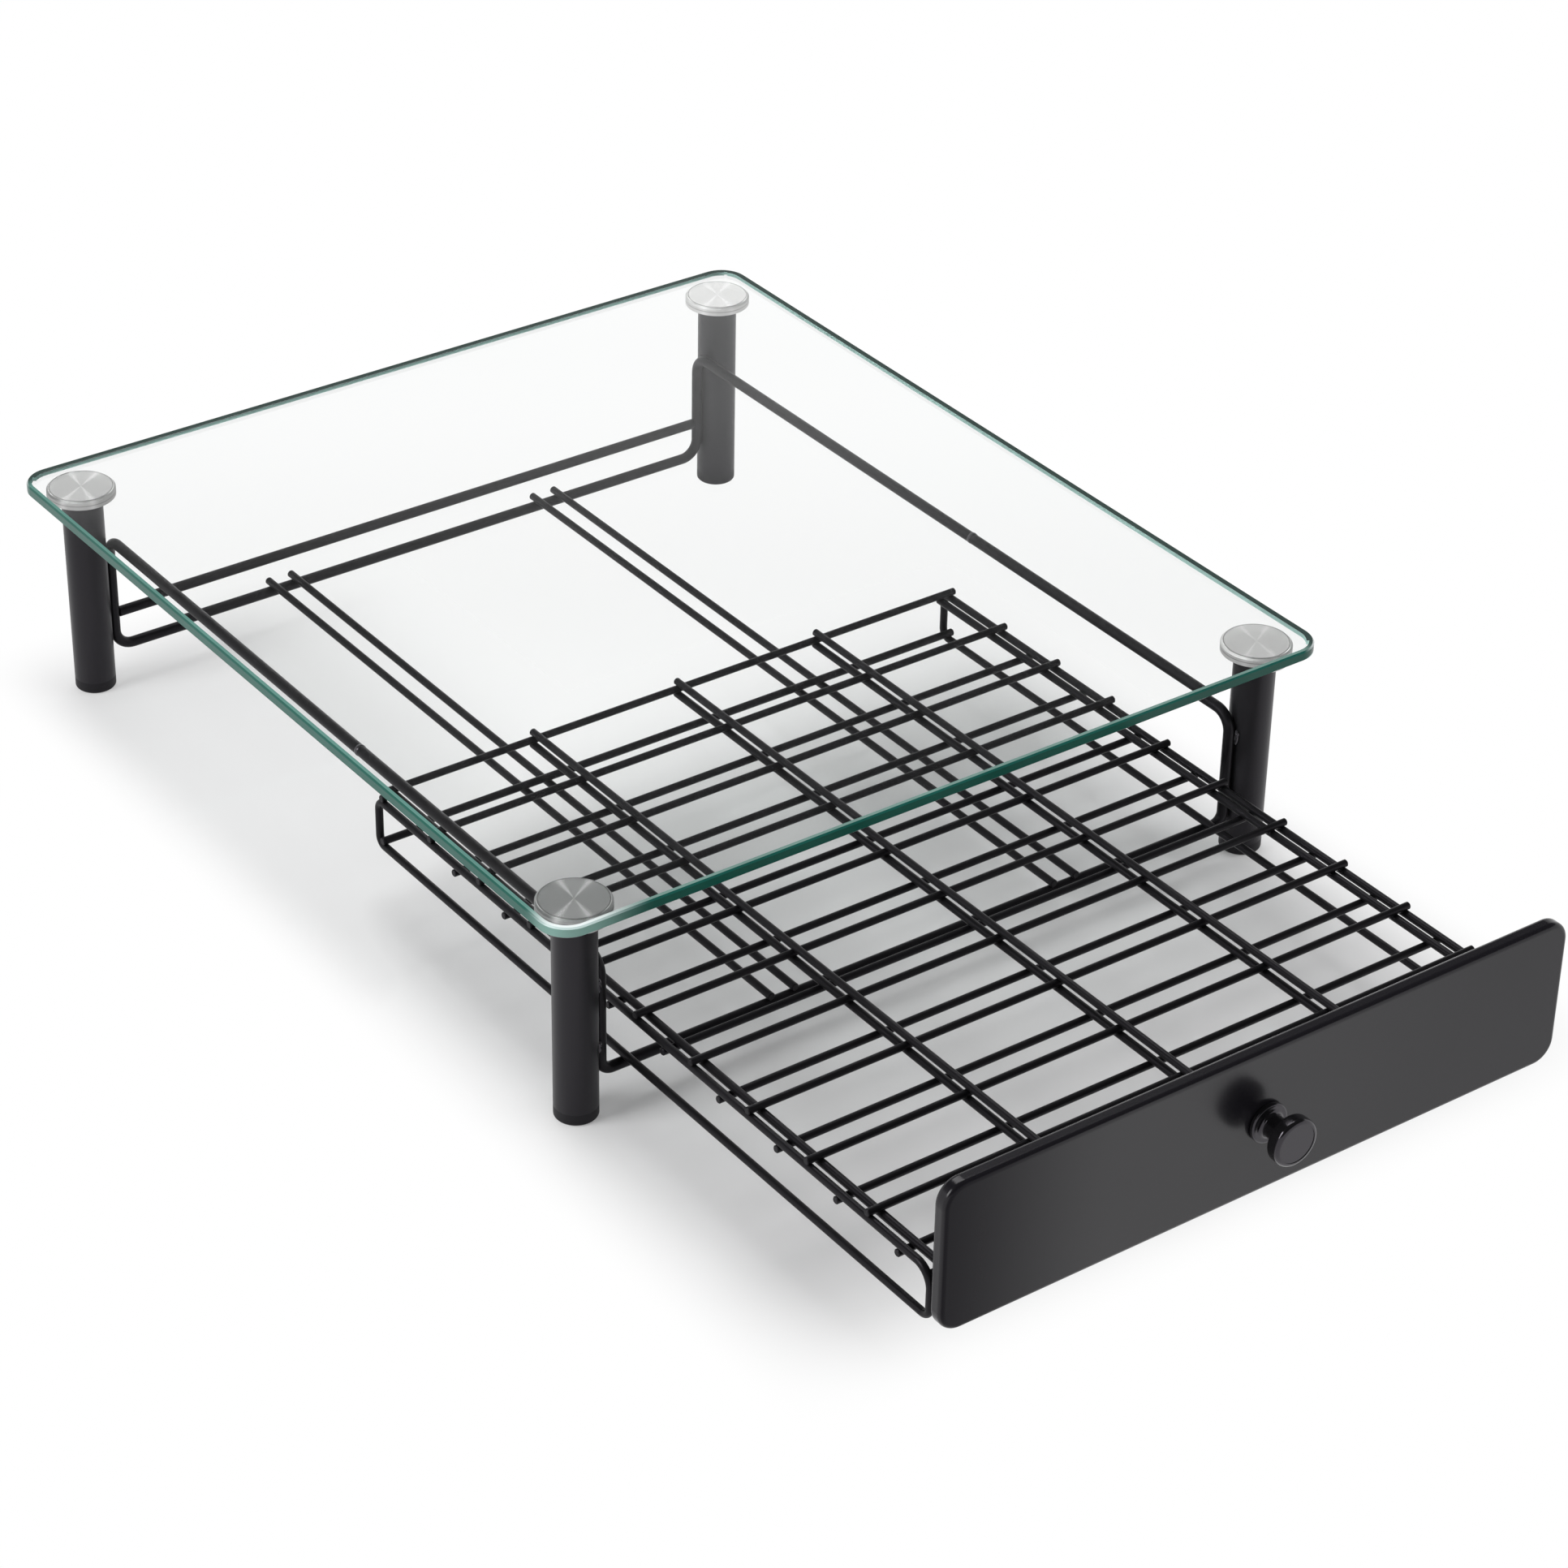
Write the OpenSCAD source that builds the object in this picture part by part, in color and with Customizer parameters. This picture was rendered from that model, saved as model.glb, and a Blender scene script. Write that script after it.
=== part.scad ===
// Countertop stand with a pull-out wire drawer for coffee pods: a glass top on four tube legs, a frame
// of bent wire between the legs, and a welded wire basket that slides on the frame behind a flat front
// with a knob. Millimetres, +Z up, the front faces -Y. The drawer is drawn part of the way out.

/* [Glass top] */
// Width of the glass plate
glass_w = 357; // [330:1:440]
// Depth of the glass plate
glass_d = 404; // [380:1:470]
// Thickness of the glass plate
glass_t = 4.4; // [3:0.1:8]
// Radius of the plate's corners
glass_corner_r = 12; // [4:0.5:18]
// Width of the ground bevel round the plate's edges
glass_arris = 0.6; // [0.2:0.1:1.2]
// Height of the plate's upper face above the counter
stand_h = 96.4; // [92:0.1:140]

/* [Legs] */
// Outer diameter of the leg tubes
leg_d = 17; // [14:0.5:20]
// Wall of the leg tubes
leg_wall = 1.2; // [0.8:0.1:2]
// Distance from the plate's side edge to a leg's axis
leg_inset_x = 19.5; // [16:0.5:30]
// Distance from the plate's front or rear edge to a leg's axis
leg_inset_y = 19; // [16:0.5:30]
// Height of the foot caps below the tubes
foot_h = 5; // [3:0.5:10]
// Rounding of a foot cap's lower edge
foot_round = 1.3; // [0.5:0.1:2.5]
// Length of a foot cap's plug inside the tube
foot_plug_len = 9; // [5:0.5:20]
// Length of the threaded insert in the top of each tube
insert_len = 14; // [8:0.5:20]
// Gap round a plug, an insert or a stud inside its bore
plug_play = 0.1; // [0.05:0.01:0.2]

/* [Glass discs] */
// Diameter of the metal discs glued under the glass
disc_d = 28.3; // [22:0.1:32]
// Thickness of the discs
disc_t = 3.8; // [2:0.1:6]
// Bevel round the upper edge of a disc
disc_bevel = 0.9; // [0.2:0.1:1.2]
// Diameter of the stud that screws each disc to its leg
stud_d = 6; // [4:0.5:8]
// Length of the stud below the disc
stud_len = 12; // [6:0.5:18]
// Depth of the stud's seat in the disc
stud_seat = 2.4; // [1:0.1:3]

/* [Stand wires] */
// Diameter of the bent frame wire
frame_wire_d = 4.5; // [3.5:0.1:6]
// Radius of the frame wire's bends, on its centre line
frame_bend_r = 8; // [6:0.5:12]
// Radius of the tighter bends at the ends of the front cross rail
front_bend_r = 5; // [4:0.5:12]
// Height of the side rails' centre line
side_rail_z = 64.5; // [55:0.5:80]
// Height of the low cross rails' centre line
low_rail_z = 14.7; // [12:0.1:20]
// Distance from the stand's middle forward to the butt joint of the two hoops
hoop_joint_y = 18; // [-60:1:60]
// Diameter of the stop wire across the rear
stop_wire_d = 4.4; // [3:0.1:6]
// Height of the stop wire's centre line
stop_wire_z = 31; // [28:0.5:50]
// Diameter of the runner wires
runner_wire_d = 3.2; // [2.5:0.1:4]
// Distance from the stand's middle to the inner runner of each pair
runner_inner_x = 61.8; // [50:0.1:70]
// Distance between the two runners of a pair
runner_pitch = 10.9; // [8:0.1:16]
// How far the runners reach behind the rear rail's centre line
runner_overhang = 3.2; // [2.5:0.1:6]
// How deep a welded wire sinks into the wire that it crosses
weld_sink = 0.2; // [0.05:0.05:0.3]
// How deep the cross lugs' leaves sink into the wire that lies on them
leaf_sink = 0.04; // [0.02:0.01:0.06]

/* [Drawer basket] */
// How far the drawer is drawn out
drawer_open = 185.4; // [0:0.1:320]
// Diameter of the side loops and of the lengthwise wires at their height
basket_wire_d = 3.2; // [2.5:0.1:4]
// Diameter of the cross wires and of the upper dividers
cross_wire_d = 3; // [2.5:0.1:3.5]
// Gap between the basket's side and the frame wires beside it
basket_side_gap = 6; // [3:0.5:12]
// Height of the side loops, between centre lines
loop_h = 20; // [18:0.5:24]
// Radius of the side loops' bends, on the centre line
loop_bend_r = 4; // [3:0.5:6]
// Radius of the bend at the loops' upper front corner
loop_front_bend_r = 8; // [6:0.5:10]
// Distance from the loops' rear upright to the rearmost row wire
rear_row_gap = 4.2; // [4:0.1:12]
// Distance from the foremost row wire to the loops' front upright
front_row_gap = 34.6; // [24:0.1:44]
// Distance between neighbouring dividers
divider_pitch = 69; // [60:0.5:74]
// Distance from a side loop to the edge wire inside it
edge_wire_gap = 5.1; // [4:0.1:10]
// Running gap between the drawer and what it slides over
slide_gap = 0.3; // [0.2:0.05:0.6]
// Gap left behind the basket when the drawer is shut
rear_stop_gap = 7.3; // [2:0.1:14]

/* [Drawer front] */
// Height of the front panel
panel_h = 61.8; // [50:0.1:66]
// Thickness of the front panel
panel_t = 6.5; // [5:0.1:8]
// Radius of the panel's corners
panel_corner_r = 9; // [4:0.5:14]
// Rounding of the panel's edges
panel_edge_r = 2; // [0.5:0.1:2.4]
// Gap between the panel's side and the frame wires beside it
panel_side_gap = 4.6; // [2:0.1:10]
// Gap between the panel's lower edge and the front cross rail
panel_rail_gap = 0.9; // [0.5:0.1:2]
// Gap between the shut panel and the runners' front ends
runner_end_gap = 0.4; // [0.3:0.1:1]
// Thickness of the fixing lugs
lug_t = 1.4; // [1:0.1:2]
// Width of a lug across its rounded end
lug_w = 9; // [8:0.5:10]
// Distance from the wire that a lug is welded to, to its screw
lug_reach = 8.5; // [8:0.5:10]
// Height of the side lugs' screws
side_lug_z = 25; // [24:0.5:29]
// Distance from the panel's middle to the cross lugs
cross_lug_x = 46; // [30:1:52]
// Diameter of the panel screws
screw_d = 3; // [2.5:0.1:3.5]
// Length of a panel screw below its head
screw_len = 5.6; // [4:0.1:6]
// Diameter of a panel screw's head
screw_head_d = 5.6; // [5:0.1:6.5]
// Height of a panel screw's head
screw_head_h = 1.9; // [1.5:0.1:2.5]

/* [Knob] */
// Length of the knob in front of the panel
knob_len = 16.5; // [14:0.5:26]
// Diameter of the knob's head
knob_d = 19; // [18:0.5:26]
// Thickness of the knob's head
knob_head_t = 6; // [4:0.5:8]
// Rounding of the head's rim
knob_rim_r = 1.6; // [0.8:0.1:2.5]
// Diameter of the shallow dish in the head's face
knob_dish_d = 15.4; // [8:0.2:15.6]
// Depth of the dish
knob_dish_depth = 0.2; // [0.1:0.1:0.8]
// Diameter of the neck behind the head
knob_neck_d = 9; // [7:0.5:12]
// Diameter of the flange against the panel
knob_flange_d = 16; // [15:0.5:20]
// Thickness of the flange
knob_flange_t = 2.4; // [2:0.2:5]
// Rounding of the flange's rim
knob_flange_r = 0.9; // [0.4:0.1:0.9]
// Diameter of the knob's screw
knob_screw_d = 4; // [3:0.5:5]
// Depth to which the screw reaches into the knob
knob_screw_reach = 9; // [5:0.5:12]
// Diameter of the knob screw's head
knob_screw_head_d = 8; // [6:0.5:10]
// Height of the knob screw's head
knob_screw_head_h = 2.4; // [1.5:0.1:2.5]

/* [Hidden] */
$fn = 64;

// Overrun of a cut past the face that it opens
overrun = 1;
// Bevel on the sawn ends of the wires
wire_end_bevel = 0.3;
// Radius that carries the knob's neck into its flange
knob_fillet_r = 1.6;

row_count = 10;

frame_black = "#1c1c1f";
basket_black = "#202023";
panel_grey = "#434345";
knob_black = "#19191b";
disc_silver = "#c9c9cb";
cap_black = "#141416";
steel = "#a9abae";
glass_tint = [0.62, 0.80, 0.76, 0.35];

// Stand: heights and axes of the legs, and where the frame wire runs beside them
glass_z = stand_h - glass_t;
leg_top_z = glass_z - disc_t;
leg_r = leg_d / 2;
leg_bore_d = leg_d - 2 * leg_wall;
leg_x = glass_w / 2 - leg_inset_x;
leg_y = glass_d / 2 - leg_inset_y;
frame_x = leg_x - leg_r - frame_wire_d / 2;
frame_inner_x = frame_x - frame_wire_d / 2;
low_rail_top = low_rail_z + frame_wire_d / 2;
runner_z = low_rail_top + runner_wire_d / 2 - weld_sink;
runner_top = runner_z + runner_wire_d / 2;

// Drawer front: flush with the fronts of the legs when shut
panel_w = 2 * (frame_inner_x - panel_side_gap);
panel_z = low_rail_top + panel_rail_gap;
panel_mid_z = panel_z + panel_h / 2;
shut_panel_back = panel_t - leg_y - leg_r;
panel_back = shut_panel_back - drawer_open;
panel_front = panel_back - panel_t;
runner_front = shut_panel_back + runner_end_gap;
runner_rear = leg_y + runner_overhang;

// Basket: side loops between the lugs on the panel and the stop wire of the shut drawer
loop_r = basket_wire_d / 2;
side_x = frame_inner_x - basket_side_gap - loop_r;
basket_half_w = side_x + loop_r;
loop_front = panel_back + lug_t + loop_r;
loop_rear = leg_y - stop_wire_d / 2 - rear_stop_gap - loop_r - drawer_open;
loop_low_z = max(low_rail_top + slide_gap + loop_r, runner_top + slide_gap - loop_r + weld_sink);
loop_top_z = loop_low_z + loop_h;

// Basket: the wires lie in layers, each sunk into the next by the depth of a weld
layer_step = (basket_wire_d + cross_wire_d) / 2 - weld_sink;
row_z = loop_top_z + layer_step;
rest_z = loop_top_z - layer_step;
divider_z = row_z + cross_wire_d - weld_sink;
rear_bottom_z = loop_low_z + basket_wire_d - weld_sink;
rear_bottom_y = loop_rear - loop_bend_r;
row_pitch = (loop_rear - rear_row_gap - loop_front - front_row_gap) / (row_count - 1);
edge_x = side_x - edge_wire_gap;

// The front cross wire lies in the rest wires' layer, on the bend of the side loops
front_cross_y = loop_front + loop_front_bend_r
    - sqrt(pow(loop_front_bend_r, 2) - pow(loop_front_bend_r - layer_step, 2));
butt_half_w = side_x - loop_r + weld_sink;
long_rear = row_y(0) + cross_wire_d / 2;
long_front = front_cross_y - cross_wire_d / 2;
cross_lug_z = rest_z - cross_wire_d / 2 + leaf_sink;

// The origin is on the counter, under the middle of the whole object
front_end = min(panel_front - knob_len, -glass_d / 2);
middle_y = (front_end + glass_d / 2) / 2;

// Distance along Y of a row wire. Half numbers lie between two rows.
function row_y(i) = loop_rear - rear_row_gap - i * row_pitch;

function unit(v) = v / norm(v);

module in_place() {
    translate([0, -middle_y, 0])
        children();
}

// Plain round bar between two points
module rod(from, to, d) {
    run = to - from;
    translate(from)
        rotate([0, acos(run.z / norm(run)), atan2(run.y, run.x)])
            cylinder(h = norm(run), d = d);
}

// Straight wire between two points, with bevelled ends
module cut_wire(from, to, d) {
    way = unit(to - from);
    run = norm(to - from);
    body_len = run - 2 * wire_end_bevel;
    translate(from)
        rotate([0, acos(way.z), atan2(way.y, way.x)]) {
            cylinder(h = wire_end_bevel, d1 = d - 2 * wire_end_bevel, d2 = d);
            translate([0, 0, wire_end_bevel])
                cylinder(h = body_len, d = d);
            translate([0, 0, wire_end_bevel + body_len])
                cylinder(h = wire_end_bevel, d1 = d, d2 = d - 2 * wire_end_bevel);
        }
}

// One bend of a wire, from its start, where it runs along u, to where it runs along w
module bend(start, u, w, r, d) {
    inward = unit(w - u * (u * w));
    normal = cross(u, inward);
    centre = start + inward * r;
    multmatrix([
        [-inward.x, u.x, normal.x, centre.x],
        [-inward.y, u.y, normal.y, centre.y],
        [-inward.z, u.z, normal.z, centre.z],
        [0, 0, 0, 1]
    ])
        rotate_extrude(angle = acos(u * w))
            translate([r, 0])
                circle(d = d);
}

// Wire bent at each inner point of a path, with one bend radius per point
module bent_wire(points, radii, d) {
    last = len(points) - 1;
    ways = [for (i = [0:last - 1]) unit(points[i + 1] - points[i])];
    cuts = [for (i = [0:last]) i == 0 || i == last ? 0 : radii[i] * tan(acos(ways[i - 1] * ways[i]) / 2)];
    for (i = [0:last - 1])
        rod(points[i] + ways[i] * cuts[i], points[i + 1] - ways[i] * cuts[i + 1], d);
    for (i = [1:last - 1])
        bend(points[i] - ways[i - 1] * cuts[i], ways[i - 1], ways[i], radii[i], d);
}

// Straight wire along X, centred, with bevelled ends
module cross_wire(half_w, y, z, d) {
    cut_wire([-half_w, y, z], [half_w, y, z], d);
}

// Straight wire along Y, with bevelled ends
module long_wire(x, z, rear, front, d) {
    cut_wire([x, rear, z], [x, front, z], d);
}

// Section of a disc with two rounded rims, from its axis outwards
module rounded_section(r, h, edge_r) {
    square([r - edge_r, h]);
    translate([0, edge_r])
        square([r, h - 2 * edge_r]);
    for (z = [edge_r, h - edge_r])
        translate([r - edge_r, z])
            circle(r = edge_r);
}

// Flat plate with its base at z = 0, centred in plan. The child is the section of its rim, from the axis
// of a corner outwards, and it runs along the sides and round the corners.
module rimmed_plate(w, d, t, corner_r) {
    core_w = w - 2 * corner_r;
    core_d = d - 2 * corner_r;
    translate([-core_w / 2, -core_d / 2, 0])
        cube([core_w, core_d, t]);
    for (side = [0:3])
        rotate([0, 0, 90 * side]) {
            run = side % 2 == 0 ? core_d : core_w;
            reach = side % 2 == 0 ? core_w / 2 : core_d / 2;
            translate([reach, run / 2, 0]) {
                rotate([90, 0, 0])
                    linear_extrude(run)
                        children();
                rotate_extrude(angle = 90)
                    children();
            }
        }
}

// Round bar along Y from one y to another, at x and z
module bar_y(x, z, from_y, to_y, d) {
    rod([x, from_y, z], [x, to_y, z], d);
}

// Puts a child on the axis of one leg
module at_leg(sx, sy) {
    translate([sx * leg_x, sy * leg_y, 0])
        children();
}

module at_every_leg() {
    for (sx = [-1, 1], sy = [-1, 1])
        at_leg(sx, sy)
            children();
}

module glass_top() {
    color(glass_tint)
        in_place()
            translate([0, 0, glass_z])
                rimmed_plate(glass_w, glass_d, glass_t, glass_corner_r)
                    polygon([
                        [0, 0],
                        [glass_corner_r - glass_arris, 0],
                        [glass_corner_r, glass_arris],
                        [glass_corner_r, glass_t - glass_arris],
                        [glass_corner_r - glass_arris, glass_t],
                        [0, glass_t]
                    ]);
}

module glass_disc(sx, sy) {
    color(disc_silver)
        in_place()
            at_leg(sx, sy)
                translate([0, 0, leg_top_z])
                    difference() {
                        union() {
                            cylinder(h = disc_t - disc_bevel, d = disc_d);
                            translate([0, 0, disc_t - disc_bevel])
                                cylinder(h = disc_bevel, d1 = disc_d, d2 = disc_d - 2 * disc_bevel);
                        }
                        translate([0, 0, -overrun])
                            cylinder(h = overrun + stud_seat, d = stud_d + 2 * plug_play);
                    }
}

module disc_studs() {
    color(steel)
        in_place()
            at_every_leg()
                translate([0, 0, leg_top_z - stud_len])
                    cylinder(h = stud_len + stud_seat, d = stud_d);
}

module leg(sx, sy) {
    color(frame_black)
        in_place()
            at_leg(sx, sy)
                translate([0, 0, foot_h])
                    difference() {
                        cylinder(h = leg_top_z - foot_h, d = leg_d);
                        translate([0, 0, -overrun])
                            cylinder(h = leg_top_z - foot_h + 2 * overrun, d = leg_bore_d);
                    }
}

module leg_inserts() {
    color(cap_black)
        in_place()
            at_every_leg()
                translate([0, 0, leg_top_z - insert_len])
                    difference() {
                        cylinder(h = insert_len, d = leg_bore_d - 2 * plug_play);
                        translate([0, 0, -overrun])
                            cylinder(h = insert_len + 2 * overrun, d = stud_d + 2 * plug_play);
                    }
}

module foot_cap(sx, sy) {
    color(cap_black)
        in_place()
            at_leg(sx, sy) {
                rotate_extrude() {
                    translate([0, foot_round])
                        square([leg_r, foot_h - foot_round]);
                    square([leg_r - foot_round, foot_h]);
                    intersection() {
                        translate([leg_r - foot_round, foot_round])
                            circle(r = foot_round);
                        square([leg_r, foot_h]);
                    }
                }
                translate([0, 0, foot_h])
                    cylinder(h = foot_plug_len, d = leg_bore_d - 2 * plug_play);
            }
}

// Half of the frame: a low cross rail, two uprights against the legs and two side rails
module frame_hoop(end) {
    joint = -hoop_joint_y;
    path = [
        [-frame_x, joint, side_rail_z],
        [-frame_x, end * leg_y, side_rail_z],
        [-frame_x, end * leg_y, low_rail_z],
        [frame_x, end * leg_y, low_rail_z],
        [frame_x, end * leg_y, side_rail_z],
        [frame_x, joint, side_rail_z]
    ];
    low_r = end > 0 ? frame_bend_r : front_bend_r;
    color(frame_black)
        in_place()
            bent_wire(path, [for (p = path) p.z == low_rail_z ? low_r : frame_bend_r], frame_wire_d);
}

module rear_stop_wire() {
    color(frame_black)
        in_place()
            cross_wire(frame_inner_x + weld_sink, leg_y, stop_wire_z, stop_wire_d);
}

module runner(side, n) {
    x = side * (runner_inner_x + n * runner_pitch);
    color(frame_black)
        in_place()
            long_wire(x, runner_z, runner_rear, runner_front, runner_wire_d);
}

// Closed loop in an upright plane, butt-welded in the middle of its lower run
module side_loop(side) {
    x = side * side_x;
    seam = (loop_front + loop_rear) / 2;
    path = [
        [x, seam, loop_low_z],
        [x, loop_front, loop_low_z],
        [x, loop_front, loop_top_z],
        [x, loop_rear, loop_top_z],
        [x, loop_rear, loop_low_z],
        [x, seam, loop_low_z]
    ];
    radii = [loop_bend_r, loop_bend_r, loop_front_bend_r, loop_bend_r, loop_bend_r, loop_bend_r];
    color(basket_black)
        in_place()
            bent_wire(path, radii, basket_wire_d);
}

// Cross wire on top of the side loops, between two rows of pods
module row_wire(i) {
    color(basket_black)
        in_place()
            cross_wire(basket_half_w, row_y(i), row_z, cross_wire_d);
}

// Cross wire under the side loops, on which a row of pods leans
module rest_wire(i) {
    color(basket_black)
        in_place()
            cross_wire(basket_half_w, row_y(i + 1 / 2), rest_z, cross_wire_d);
}

module upper_divider(n) {
    color(basket_black)
        in_place()
            long_wire(n * divider_pitch, divider_z, long_rear, long_front, cross_wire_d);
}

module lower_divider(n) {
    color(basket_black)
        in_place()
            long_wire(n * divider_pitch, loop_top_z, long_rear, long_front, basket_wire_d);
}

module edge_wire(side) {
    color(basket_black)
        in_place()
            long_wire(side * edge_x, loop_top_z, long_rear, long_front, basket_wire_d);
}

module front_cross_wire() {
    color(basket_black)
        in_place()
            cross_wire(butt_half_w, front_cross_y, rest_z, cross_wire_d);
}

// Wire across the rear, on top of the loops' lower runs, that rides on the runners
module rear_bottom_wire() {
    color(basket_black)
        in_place()
            cross_wire(basket_half_w, rear_bottom_y, rear_bottom_z, basket_wire_d);
}

// Flat lug with a round end and a screw hole. It stands on its rear face, from the wire to the hole.
module lug_plate(hole) {
    rotate([90, 0, 0])
        linear_extrude(lug_t)
            difference() {
                union() {
                    rotate(atan2(hole.y, hole.x))
                        translate([0, -lug_w / 2])
                            square([norm(hole), lug_w]);
                    translate(hole)
                        circle(d = lug_w);
                }
                translate(hole)
                    circle(d = screw_d + 2 * plug_play);
            }
}

module side_lugs() {
    color(basket_black)
        in_place()
            for (side = [-1, 1])
                translate([side * side_x, panel_back + lug_t, side_lug_z])
                    lug_plate([-side * lug_reach, 0]);
}

// Angle lugs: the front cross wire lies on the flat leaf, and the screw goes through the upright leaf
module cross_lugs() {
    color(basket_black)
        in_place()
            for (side = [-1, 1])
                translate([side * cross_lug_x, panel_back, cross_lug_z]) {
                    translate([0, lug_t, 0])
                        lug_plate([0, -lug_reach]);
                    translate([-lug_w / 2, 0, -lug_t])
                        cube([lug_w, front_cross_y - panel_back, lug_t]);
                }
}

// Places of the four panel screws, as [x, z]
function screw_places() = [
    for (side = [-1, 1]) [side * (side_x - lug_reach), side_lug_z],
    for (side = [-1, 1]) [side * cross_lug_x, cross_lug_z - lug_reach]
];

module panel_screws() {
    head_y = panel_back + lug_t;
    color(steel)
        in_place()
            for (place = screw_places()) {
                bar_y(place.x, place.y, head_y - screw_len, head_y, screw_d);
                bar_y(place.x, place.y, head_y, head_y + screw_head_h, screw_head_d);
            }
}

module front_panel() {
    hole_end = panel_back + lug_t - screw_len - plug_play;
    knob_hole_d = knob_screw_d + 2 * plug_play;
    color(panel_grey)
        in_place()
            difference() {
                translate([0, panel_back, panel_mid_z])
                    rotate([90, 0, 0])
                        rimmed_plate(panel_w, panel_h, panel_t, panel_corner_r)
                            rounded_section(panel_corner_r, panel_t, panel_edge_r);
                for (place = screw_places())
                    bar_y(place.x, place.y, hole_end, panel_back + overrun, screw_d + 2 * plug_play);
                bar_y(0, panel_mid_z, panel_front - overrun, panel_back + overrun, knob_hole_d);
            }
}

module knob() {
    head_z = knob_len - knob_head_t;
    color(knob_black)
        in_place()
            translate([0, panel_front, panel_mid_z])
                rotate([90, 0, 0])
                    difference() {
                        rotate_extrude() {
                            rounded_section(knob_flange_d / 2, knob_flange_t, knob_flange_r);
                            square([knob_flange_d / 2 - knob_flange_r, knob_flange_r]);
                            square([knob_neck_d / 2, head_z + knob_rim_r]);
                            knob_fillet();
                            translate([0, head_z])
                                rounded_section(knob_d / 2, knob_head_t, knob_rim_r);
                        }
                        translate([0, 0, knob_len - knob_dish_depth])
                            cylinder(h = knob_dish_depth + overrun, d = knob_dish_d);
                        translate([0, 0, -overrun])
                            cylinder(h = knob_screw_reach + overrun, d = knob_screw_d + 2 * plug_play);
                    }
}

// Fillet between the knob's neck and its flange, in the knob's section
module knob_fillet() {
    neck_r = knob_neck_d / 2;
    difference() {
        translate([0, knob_flange_t - knob_flange_r])
            square([neck_r + knob_fillet_r, knob_flange_r + knob_fillet_r]);
        translate([neck_r + knob_fillet_r, knob_flange_t + knob_fillet_r])
            circle(r = knob_fillet_r);
    }
}

module knob_screw() {
    tip_y = panel_front - knob_screw_reach + plug_play;
    color(steel)
        in_place() {
            bar_y(0, panel_mid_z, tip_y, panel_back, knob_screw_d);
            bar_y(0, panel_mid_z, panel_back, panel_back + knob_screw_head_h, knob_screw_head_d);
        }
}

LEGS = [["rear_left", -1, 1], ["rear_right", 1, 1], ["front_left", -1, -1], ["front_right", 1, -1]];
SIDES = [["left", -1], ["right", 1]];
DIVIDERS = [["left", -1], ["middle", 0], ["right", 1]];
RUNNERS = [
    ["left_outer", -1, 1],
    ["left_inner", -1, 0],
    ["right_inner", 1, 0],
    ["right_outer", 1, 1]
];

glass_top();
for (l = LEGS) glass_disc(l[1], l[2]);
disc_studs();
for (l = LEGS) leg(l[1], l[2]);
leg_inserts();
for (l = LEGS) foot_cap(l[1], l[2]);
frame_hoop(1);  // frame_hoop_rear
frame_hoop(-1);  // frame_hoop_front
rear_stop_wire();
for (r = RUNNERS) runner(r[1], r[2]);
for (s = SIDES) side_loop(s[1]);
for (i = [1:row_count]) row_wire(i - 1);
for (i = [1:row_count - 1]) rest_wire(i);
for (d = DIVIDERS) upper_divider(d[1]);
for (d = DIVIDERS) lower_divider(d[1]);
for (s = SIDES) edge_wire(s[1]);
front_cross_wire();
rear_bottom_wire();
side_lugs();
cross_lugs();
panel_screws();
front_panel();
knob();
knob_screw();
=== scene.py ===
"""A glass topped counter stand with a wire drawer below it."""
import math

import bmesh
import bpy
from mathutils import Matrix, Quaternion, Vector


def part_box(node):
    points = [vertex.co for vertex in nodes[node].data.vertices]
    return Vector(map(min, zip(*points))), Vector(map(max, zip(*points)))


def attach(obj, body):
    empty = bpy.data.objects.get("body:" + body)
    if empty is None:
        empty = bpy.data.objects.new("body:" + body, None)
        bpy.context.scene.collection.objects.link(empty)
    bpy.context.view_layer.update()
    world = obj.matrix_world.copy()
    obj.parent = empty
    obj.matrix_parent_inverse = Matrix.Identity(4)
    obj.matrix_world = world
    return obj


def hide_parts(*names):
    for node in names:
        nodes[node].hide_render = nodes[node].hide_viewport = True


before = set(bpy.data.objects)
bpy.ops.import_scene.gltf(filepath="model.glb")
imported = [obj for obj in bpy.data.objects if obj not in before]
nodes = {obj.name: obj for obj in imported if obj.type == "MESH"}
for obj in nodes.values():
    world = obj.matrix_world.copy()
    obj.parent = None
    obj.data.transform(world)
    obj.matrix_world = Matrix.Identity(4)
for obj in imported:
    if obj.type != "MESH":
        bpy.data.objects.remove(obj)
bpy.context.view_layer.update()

MM = 0.001
WHITE = (1.0, 1.0, 1.0, 1.0)
GLASS_IOR = 1.5
STAND_MIDDLE = (0, 0, 0.05)


def node_middle(name):
    low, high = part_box(name)
    return (Vector(low) + Vector(high)) / 2


# Camera

def aim_camera():
    """The viewing angle of the photograph, from a little above and from the left of the drawer front."""
    azimuth, elevation, roll = [math.radians(a) for a in (-36.32, 32.39, 1.12)]
    back = Vector((math.sin(azimuth) * math.cos(elevation),
                   -math.cos(azimuth) * math.cos(elevation), math.sin(elevation)))
    lens = bpy.data.cameras.new("camera")
    lens.sensor_width, lens.lens = 36.0, 101.9
    lens.clip_start, lens.clip_end = 0.05, 60.0
    camera = bpy.data.objects.new("camera", lens)
    camera.location = (-0.87085, -1.17961, 0.96967)
    camera.rotation_mode = "QUATERNION"
    camera.rotation_quaternion = back.to_track_quat("Z", "Y") @ Quaternion((0, 0, 1), roll)
    bpy.context.scene.collection.objects.link(camera)
    bpy.context.scene.camera = camera


# Shader nodes

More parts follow.
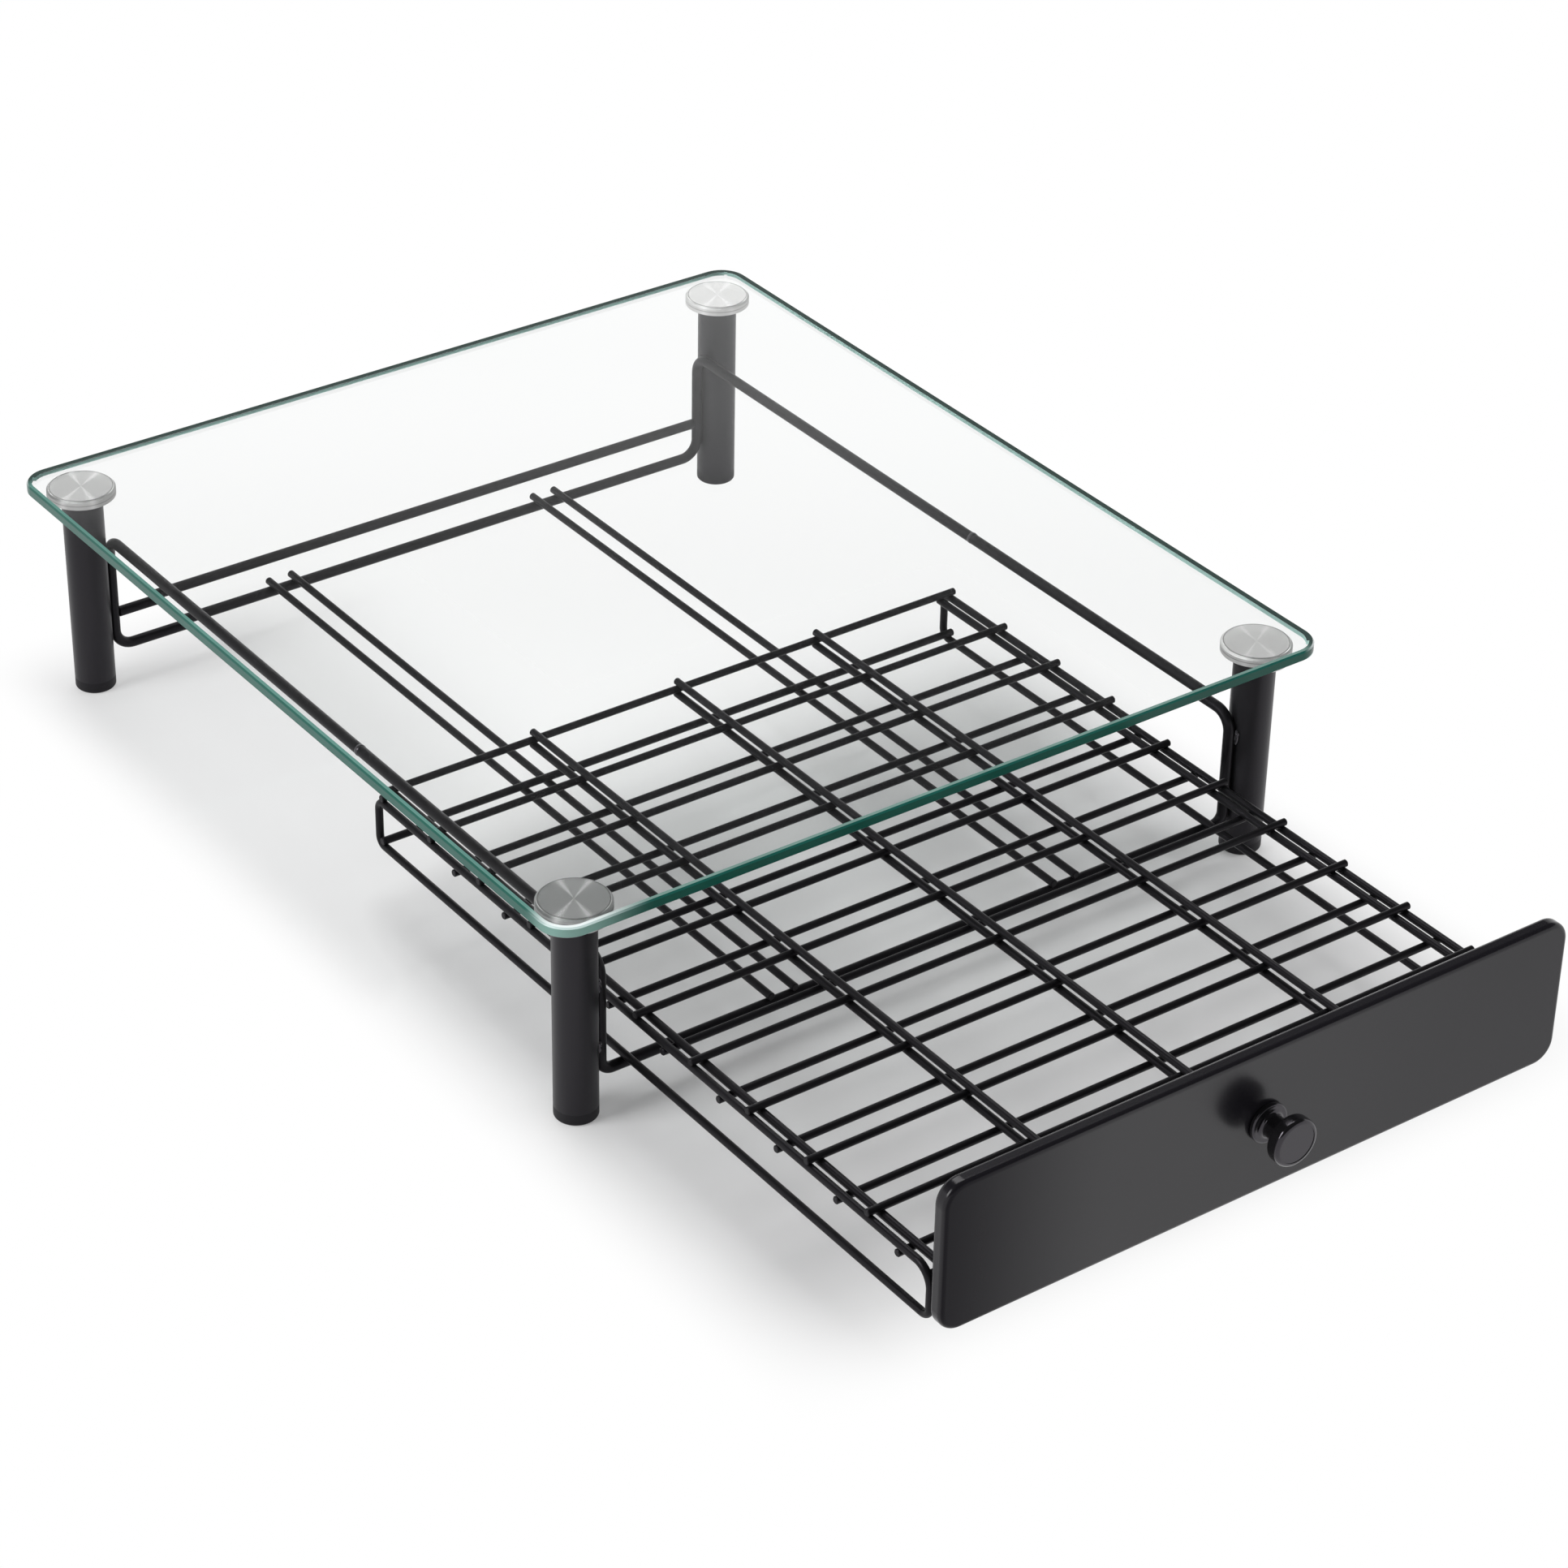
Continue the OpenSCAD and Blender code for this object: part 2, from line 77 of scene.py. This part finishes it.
class Value:
    """A shader socket that takes part in Python arithmetic."""

    def __init__(self, finish, socket):
        self.finish, self.socket = finish, socket

    def maths(self, operation, *numbers):
        return self.finish.add("Math", {"operation": operation}, dict(enumerate(numbers)))

    def __add__(self, other):
        return self.maths("ADD", self, other)

    def __mul__(self, other):
        return self.maths("MULTIPLY", self, other)

    def __sub__(self, other):
        return self.maths("SUBTRACT", self, other)

    def __rsub__(self, other):
        return self.maths("SUBTRACT", other, self)

    def __pow__(self, other):
        return self.maths("POWER", self, other)

    def __abs__(self):
        return self.maths("ABSOLUTE", self)

    def cosine(self):
        return self.maths("COSINE", self)

    def sign(self):
        return self.maths("SIGN", self)

    def least(self, other):
        return self.maths("MINIMUM", self, other)

    def most(self, other):
        return self.maths("MAXIMUM", self, other)

    __radd__, __rmul__ = __add__, __mul__


class Finish:
    """The node tree of one finish, light or backdrop."""

    def __init__(self, tree):
        self.tree = tree
        tree.nodes.clear()

    def add(self, kind, settings=None, sockets=None, out=0):
        """Adds a node, sets its settings, fills its sockets, and gives one of its outputs as a Value."""
        node = self.tree.nodes.new("ShaderNode" + kind)
        for name, setting in (settings or {}).items():
            setattr(node, name, setting)
        for name, value in (sockets or {}).items():
            if isinstance(value, Value):
                self.tree.links.new(value.socket, node.inputs[name])
            else:
                node.inputs[name].default_value = value
        return Value(self, node.outputs[out]) if node.outputs else None

    def place(self):
        """Object coordinates, in metres."""
        return self.add("TexCoord", out="Object")

    def along(self, axis, vector=None):
        """One number of a vector: 0 for x, 1 for y, 2 for z."""
        return self.add("SeparateXYZ", None, {0: vector or self.place()}, out=axis)

    def noise(self, scale, detail=2.0):
        return self.add("TexNoise", None, {"Vector": self.place(), "Scale": scale, "Detail": detail})

    def noise_along(self, value, detail):
        """Noise that changes with one number only, such as a distance or an angle."""
        return self.add("TexNoise", {"noise_dimensions": "1D"}, {"W": value, "Scale": 1.0, "Detail": detail})

    def between(self, amount, first, second):
        """A colour between two colours."""
        return self.add("Mix", {"data_type": "RGBA"}, {0: amount, 6: first, 7: second}, out=2)

    def shaded(self, colour, level):
        """A colour made darker or lighter."""
        return self.add("VectorMath", {"operation": "SCALE"}, {0: colour, "Scale": level})

    def steps(self, value, low, high, first=0.0, last=1.0):
        """A smooth step from first to last while value goes from low to high."""
        return self.add("MapRange", {"interpolation_type": "SMOOTHSTEP"},
                        {0: value, 1: low, 2: high, 3: first, 4: last})

    def bump(self, height, depth, strength):
        return self.add("Bump", None, {"Height": height, "Distance": depth, "Strength": strength})

    def rays(self):
        """Three masks: what the camera sees straight away, what is mirrored, and what glass lets through."""
        return [self.add("LightPath", out=f"Is {kind} Ray") for kind in ("Camera", "Glossy", "Transmission")]

    def principled(self, sockets):
        return self.add("BsdfPrincipled", None, sockets)

    def mixed(self, amount, first, second):
        """A shader between two shaders."""
        return self.add("MixShader", None, {0: amount, 1: first, 2: second})

    def surface(self, shader):
        self.add("OutputMaterial", None, {0: shader})


def tone(level, tint):
    return (level * tint[0], level * tint[1], level * tint[2], 1.0)


def new_finish(name):
    material = bpy.data.materials.new(name)
    material.use_nodes = True
    return material, Finish(material.node_tree)


# Finishes

BLACK_TINT = (0.98, 0.96, 1.06)
COOL_SHEEN = (1.0, 0.94, 1.06, 1.0)


def satin_black(name, level, gloss, shine=0.2, grain=900.0):
    """Black powder coat: a fine orange-peel grain, and slightly uneven gloss."""
    material, f = new_finish(name)
    peel = f.noise(grain, 3.0)
    cloud = f.noise(24.0)
    colour = f.between(cloud * 0.3 + peel * 0.2, tone(level, BLACK_TINT), tone(level * 1.9, BLACK_TINT))
    f.surface(f.principled({
        "Base Color": colour, "Roughness": gloss + cloud * 0.08 - 0.04, "Specular IOR Level": shine,
        "Specular Tint": COOL_SHEEN, "Normal": f.bump(peel, 0.04 * MM, 0.35)}))
    return material


def painted_panel():
    """Satin black lacquer on the drawer front, with painted shade: less coat, so less reflection, towards
    both ends, the left one most.
    """
    material, f = new_finish("panel_lacquer")
    fleck = f.noise(1600.0)
    cloud = f.noise(9.0)
    low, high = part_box("front_panel")
    x, y = f.along(0), f.along(1)
    # painted shade: the coat thins towards both ends, the left one most, to darken their reflection; the
    # rounded edges off the face keep at least 0.45 of it
    left_end_painted_dim = f.steps(x, low[0] - 10 * MM, low[0] + 75 * MM)
    right_end_painted_dim = f.steps(x, -60 * MM, high[0], 0.76, 0.50)
    edges = f.steps(y, low[1] + 0.3 * MM, low[1] + 0.9 * MM, 0.0, 0.45)
    coat = (left_end_painted_dim * right_end_painted_dim).most(edges) * (0.95 + cloud * 0.1)
    violet_tint = (1, 0.93, 1.18)
    colour = f.between(cloud * 0.35 + fleck * 0.2, tone(0.007, violet_tint), tone(0.014, violet_tint))
    f.surface(f.principled({
        "Base Color": colour, "Roughness": 0.22 + cloud * 0.06, "Specular IOR Level": 0.08,
        "Specular Tint": COOL_SHEEN, "Coat Weight": coat, "Coat Roughness": 0.2, "Coat IOR": GLASS_IOR,
        "Normal": f.bump(fleck, 0.03 * MM, 0.2)}))
    return material


def spun_aluminium():
    """
    Spun aluminium: fine rings round each disc's middle, a painted shade line near its rim, a bevel and side
    painted darker with a darker line round the side, and painted highlights in rays across it. The two discs
    on the right are painted the brightest and the front one on the left the dullest, as painted light.
    """
    material, f = new_finish("spun_aluminium")
    here = f.place()
    across, back, height = [f.along(axis, here) for axis in range(3)]
    front, rear = node_middle("glass_disc_front_right"), node_middle("glass_disc_rear_right")
    low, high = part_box("glass_disc_front_right")
    halfway = (front.y + rear.y) / 2

    x = across - across.sign() * front.x
    y = back - halfway - (back - halfway).sign() * (rear.y - halfway)
    radius = (x * x + y * y) ** 0.5
    rings = f.noise_along(radius * 9000.0, 3.0)
    angle = y.maths("ARCTAN2", y, x)
    turn = f.noise_along(angle * 3.0, 2.0)
    # painted highlights: two narrow rays and a broad glow at fixed angles round each disc, added to the real
    # spun rings and turning marks
    painted_ray_directions_and_sharpness = (30.0, 130.0), (82.0, 130.0), (56.0, 7.0)
    first_painted_ray, second_painted_ray, painted_glow = [abs((angle - math.radians(direction)).cosine()) ** sharpness
                                   for direction, sharpness in painted_ray_directions_and_sharpness]
    light = rings * 0.2 + turn * 0.12 + (first_painted_ray + second_painted_ray) * 0.6 + painted_glow * 0.14

    top = f.steps(height, high[2] - 0.3 * MM, high[2] - 0.1 * MM)
    # painted shade: a dark line near the rim where a groove would hold shade, and the bevel and side painted
    # darker, with a darker line round the side
    top_line_painted_shade = f.steps(abs(radius - (high[0] - low[0]) / 2 + 1.2 * MM), 0.1 * MM, 0.35 * MM, 0.55, 1.0)
    side_painted_shade = f.steps(abs(height - (high[2] - 2.1 * MM)), 0.1 * MM, 0.3 * MM, 0.5, 0.8)

    # painted light: each disc's ground tone is set by where it stands, brightest for the two on the right
    # and dullest for the front one on the left
    fade = 50 * MM
    left = f.steps(across, -fade, fade, 1.0, 0.0)
    ahead = f.steps(back, halfway - fade, halfway + fade, 1.0, 0.0)
    warm_grey = (1, 0.99, 0.985)
    painted_brighter_right = f.between(1 - left, tone(0.60, warm_grey), tone(0.80, warm_grey))
    ground = f.between(left * ahead, painted_brighter_right, tone(0.39, (0.98, 1, 0.99)))
    face = f.between(light, ground, tone(1.0, (1, 0.985, 0.99)))
    f.surface(f.principled({
        "Base Color": f.shaded(face, top * top_line_painted_shade + (1 - top) * side_painted_shade), "Metallic": 1.0,
        "Roughness": 0.62 - top * 0.42 + rings * 0.08}))
    return material


def clear_glass():
    """Float glass with a faint green cast. Lamps shine through it."""
    material, f = new_finish("clear_glass")
    greenish, clear = (0.985, 1.0, 0.994, 1.0), (0.997, 1.0, 0.999, 1.0)
    glass = f.principled({
        "Base Color": f.between(f.noise(7.0, 3.0), greenish, clear), "Roughness": 0.0, "IOR": GLASS_IOR,
        "Transmission Weight": 1.0})
    lamp_ray = f.add("LightPath", out="Is Shadow Ray")
    open_way = f.add("BsdfTransparent", None, {0: (0.97, 0.985, 0.98, 1.0)})
    f.surface(f.mixed(lamp_ray, glass, open_way))
    return material


def glass_edge(name, left, front, corner, far_top, far_bottom, roughness):
    """
    One zone of the polished edge. Each side of the plate gathers other light through the glass, painted into
    its colour: teal on the left and bottle green in front, the glass's own green with painted light in it, a
    pale painted highlight where the two meet, and a painted reflection of slate over pale teal at the two
    far sides.
    """
    material, f = new_finish(name)
    low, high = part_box("glass_top")
    here = f.place()
    x, y, z = [f.along(axis, here) for axis in range(3)]
    far_right = f.steps(x, high[0] - 12 * MM, high[0] - 4 * MM)
    far_rear = f.steps(y, high[1] - 12 * MM, high[1] - 4 * MM)
    ahead = f.steps(y, low[1] + 1 * MM, low[1] + 5 * MM, 1.0, 0.0)
    corner_x = f.steps(x, low[0] + 10 * MM, low[0] + 42 * MM, 1.0, 0.0)
    corner_y = f.steps(y, low[1] + 4 * MM, low[1] + 22 * MM, 1.0, 0.0)
    below = f.steps(z, low[2] + 0.7 * MM, low[2] + 1.1 * MM, 1.0, 0.0)
    inward = f.steps((high[0] - x).least(high[1] - y), 0.5 * MM, 0.9 * MM)
    run = f.noise(38.0, 3.0)
    grind = f.noise(260.0)
    near_sides = f.between(corner_x * corner_y, f.between(ahead, left, front), corner)
    far_sides = f.between(below * inward, far_top, far_bottom)
    colour = f.between(far_right.most(far_rear), near_sides, far_sides)
    f.surface(f.principled({
        "Base Color": f.shaded(colour, 0.8 + run * 0.4), "Roughness": roughness + grind * 0.1,
        "IOR": GLASS_IOR, "Specular IOR Level": 0.2}))
    return material


# Pieces

def make_piece(name, bm, materials, body):
    """Turns a bmesh into a named piece on a body, with its sharp creases kept."""
    mesh = bpy.data.meshes.new(name)
    bm.to_mesh(mesh)
    bm.free()
    for material in materials:
        mesh.materials.append(material)
    mesh.polygons.foreach_set("use_smooth", [True] * len(mesh.polygons))
    mesh.set_sharp_from_angle(angle=math.radians(32))
    piece = bpy.data.objects.new(name, mesh)
    bpy.context.scene.collection.objects.link(piece)
    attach(piece, body)
    return piece


def make_glass():
    """The glass plate: clear faces, a hair of air above the discs, and a polished edge in its own zones."""
    clear, rim, arris, rounding = range(4)
    merge, air, edge_band, far_band = 0.01 * MM, 0.05 * MM, 1.4 * MM, 1.1 * MM
    low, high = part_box("glass_top")
    bm = bmesh.new()
    bm.from_mesh(nodes["glass_top"].data)
    bmesh.ops.remove_doubles(bm, verts=bm.verts, dist=merge)
    bmesh.ops.dissolve_limit(bm, angle_limit=math.radians(0.5), verts=bm.verts, edges=bm.edges)
    for face in bm.faces:
        up = abs(face.normal.z)
        face.material_index = clear if up > 0.95 else rim if up < 0.3 else arris
    flats = [face for face in bm.faces if face.material_index == clear]
    underside = [vert for vert in bm.verts if vert.co.z < low[2] + merge]
    bmesh.ops.translate(bm, vec=(0, 0, air), verts=underside)
    band = bmesh.ops.inset_region(bm, faces=flats, thickness=edge_band, use_even_offset=True)["faces"]
    for face in band:
        face.material_index = rounding
    band = bmesh.ops.inset_region(bm, faces=flats, thickness=far_band, use_even_offset=True)["faces"]
    for face in band:
        from_far = Vector(high) - face.calc_center_median()
        at_far_side = min(from_far.x, from_far.y) < 5 * MM
        face.material_index = rounding if at_far_side else clear
    # painted reflection: the far sides seen from inside the plate, slate over pale teal; the pale corners
    # and the arris's grey far top are painted highlights
    slate, painted_pale_teal = (0.040, 0.062, 0.056, 1), (0.66, 0.95, 0.89, 1)
    finishes = [
        clear_glass(),
        glass_edge("glass_rim", left=(0.031, 0.12, 0.097, 1), front=(0.006, 0.085, 0.062, 1),
                   corner=(0.24, 0.42, 0.37, 1), far_top=slate, far_bottom=painted_pale_teal, roughness=0.14),
        glass_edge("glass_arris", left=(0.030, 0.12, 0.095, 1), front=(0.012, 0.10, 0.08, 1),
                   corner=(0.60, 0.74, 0.72, 1), far_top=(0.55, 0.58, 0.58, 1), far_bottom=painted_pale_teal,
                   roughness=0.1),
        glass_edge("glass_round", left=(0.12, 0.265, 0.23, 1), front=(0.17, 0.28, 0.25, 1),
                   corner=(0.80, 0.86, 0.86, 1), far_top=slate, far_bottom=painted_pale_teal, roughness=0.1)]
    piece = make_piece("glass_plate", bm, finishes, "stand")
    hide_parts("glass_top")


def frame_wire_radius():
    low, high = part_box("rear_stop_wire")
    return (high[2] - low[2]) / 2


def add_bead(bm, middle, half_sizes):
    """A smooth lump of weld metal."""
    made = bmesh.ops.create_uvsphere(bm, u_segments=16, v_segments=10, radius=1.0)["verts"]
    bmesh.ops.scale(bm, vec=half_sizes, verts=made)
    bmesh.ops.translate(bm, vec=middle, verts=made)


def weld_beads(coat):
    """Small weld drops between legs and uprights, and a weld ring where the half frames meet."""
    drop_heights_and_half_lengths = (27.5 * MM, 2.9 * MM), (54.5 * MM, 3.6 * MM)
    off_leg, off_middle = 0.1 * MM, 2.0 * MM
    hoop_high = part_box("frame_hoop_front")[1]
    wire_r = frame_wire_radius()
    ring_r, ring_half_length = wire_r + 0.3 * MM, 2.2 * MM
    bm = bmesh.new()
    for side in (-1, 1):
        for end, leg in ((-1, "leg_front_right"), (1, "leg_rear_right")):
            x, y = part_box(leg)[0][0] - off_leg, node_middle(leg).y + end * off_middle
            for height, half_length in drop_heights_and_half_lengths:
                drop = Vector((side * x, y, height))
                second_pass = drop + Vector((0, end * 0.35 * MM, 0.45 * half_length))
                add_bead(bm, drop, (1.25 * MM, 1.3 * MM, half_length))
                add_bead(bm, second_pass, (1.1 * MM, 1.15 * MM, 1.3 * MM))
        ring = Vector((side * (hoop_high[0] - wire_r), hoop_high[1], hoop_high[2] - wire_r))
        add_bead(bm, ring, (ring_r, ring_half_length, ring_r))
    make_piece("weld_beads", bm, [coat], "stand")


def dress(material, name):
    for slot in nodes[name].material_slots:
        slot.material = material


def dress_solids():
    """A finish for each solid of the stand and the drawer, and the weld beads with theirs."""
    legs = satin_black("leg_coat", level=0.008, gloss=0.36, shine=0.28)
    wires = satin_black("wire_coat", level=0.005, gloss=0.34, shine=0.16, grain=1400.0)
    basket = satin_black("basket_coat", level=0.005, gloss=0.36, shine=0.16, grain=1600.0)
    caps = satin_black("cap_plastic", level=0.008, gloss=0.5, grain=2200.0)
    knob = satin_black("knob_coat", level=0.006, gloss=0.13, shine=0.56, grain=1200.0)
    steel = satin_black("fastener_black", level=0.02, gloss=0.35, shine=0.5)
    panel = painted_panel()
    aluminium = spun_aluminium()
    weld_beads(satin_black("weld_coat", level=0.012, gloss=0.18, shine=0.7, grain=500.0))
    for name in nodes:
        if name.startswith("leg_inserts") or "screw" in name or name == "disc_studs":
            dress(steel, name)
        elif name.startswith("leg_"):
            dress(legs, name)
        elif name.startswith("glass_disc"):
            dress(aluminium, name)
        elif name.startswith("foot_cap"):
            dress(caps, name)
        elif name.startswith(("frame_", "rear_stop", "runner")):
            dress(wires, name)
        elif name == "front_panel":
            dress(panel, name)
        elif name == "knob":
            dress(knob, name)
        elif name != "glass_top":
            dress(basket, name)


# Floor and light

def white_table():
    """
    A table that shows as plain white, except under the drawer and beside the left rail, where it keeps its
    soft shadow and a faint reflection, and its grey there adds a painted shadow.
    """
    material, f = new_finish("white_table")
    here = f.place()
    x, y = f.along(0, here), f.along(1, here)
    low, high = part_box("front_panel")
    # painted shadow: in these zones the grey table shows instead of white, darker than the lamps' shadow
    # alone makes it
    beside = f.steps(abs(x), 140 * MM, 200 * MM, 1.0, 0.0)
    behind_panel = f.steps(y, low[1] - 5 * MM, high[1] + 75 * MM)
    before_glass = f.steps(y, 20 * MM, 160 * MM, 1.0, 0.0)
    drawer = beside * behind_panel * before_glass
    left_side = f.steps(x, -200 * MM, -165 * MM) * f.steps(x, -130 * MM, 0.0, 0.6, 0.0)
    rear_half = f.steps(abs(y - 150 * MM), 120 * MM, 180 * MM, 1.0, 0.0)
    left_rail_painted_shadow = left_side * rear_half
    camera, glossy, through = f.rays()
    table = f.principled({
        "Base Color": (0.70, 0.70, 0.705, 1.0), "Roughness": 0.05, "Specular IOR Level": 0.6})
    white = f.add("Emission", None, {"Color": WHITE, "Strength": 1 + through * 0.09})
    fade = camera.most(glossy).most(through) * (1 - drawer.most(left_rail_painted_shadow))
    f.surface(f.mixed(fade, table, white))
    return material


def lay_floor():
    bm = bmesh.new()
    bmesh.ops.create_circle(bm, cap_ends=True, segments=64, radius=14.0)
    mesh = bpy.data.meshes.new("floor")
    bm.to_mesh(mesh)
    bm.free()
    floor = bpy.data.objects.new("floor", mesh)
    floor.location.z = -0.02 * MM
    bpy.context.scene.collection.objects.link(floor)
    mesh.materials.append(white_table())


def softbox(name, place, size, power, mirrored=True):
    """A rectangular lamp that points at the stand. None of them shows through the glass."""
    light = bpy.data.lights.new(name, "AREA")
    light.shape, light.size, light.size_y = "RECTANGLE", size[0], size[1]
    light.energy = power
    lamp = bpy.data.objects.new(name, light)
    lamp.location = place
    lamp.visible_glossy, lamp.visible_transmission = mirrored, False
    lamp.rotation_mode = "QUATERNION"
    lamp.rotation_quaternion = (Vector(STAND_MIDDLE) - Vector(place)).to_track_quat("-Z", "Y")
    bpy.context.scene.collection.objects.link(lamp)


def white_room():
    """
    A white room that darkens higher up where it is mirrored. Light that crossed the faces of the plate twice
    was mirrored inside it. Light that crossed them more often comes from below, where the discs mirror it.
    """
    world = bpy.data.worlds.new("studio")
    bpy.context.scene.world = world
    world.use_nodes = True
    f = Finish(world.node_tree)
    up = f.along(2, f.add("TexCoord", out="Generated"))
    camera, glossy, through = f.rays()
    from_below = f.steps(f.add("LightPath", out="Transmission Depth"), 2.4, 2.6)
    mirrored = f.steps(up, 0.36, 0.46, 1.0, 0.02)
    in_plate = f.steps(up, 0.455, 0.505, 1.0, 0.05)
    in_discs = f.steps(up, 0.46, 0.56, 1.0, 0.05)
    past_glass = in_plate * (1 - from_below) + from_below * in_discs
    on_object = (1 - camera) * (1 - glossy.most(through)) * 0.5
    strength = camera + glossy * mirrored + through * past_glass + on_object
    f.add("OutputWorld", None, {0: f.add("Background", None, {"Color": WHITE, "Strength": strength})})


def light_studio():
    white_room()
    softbox("key_left", place=(-1.9, 0.3, 1.5), size=(1.1, 1.1), power=30)
    softbox("fill_right", place=(1.7, -1.1, 1.1), size=(1.0, 1.0), power=16, mirrored=False)
    softbox("top_rear", place=(0.5, 1.2, 2.2), size=(1.4, 0.9), power=16)
    bpy.context.scene.view_settings.view_transform = "Standard"


aim_camera()
make_glass()
dress_solids()
lay_floor()
light_studio()
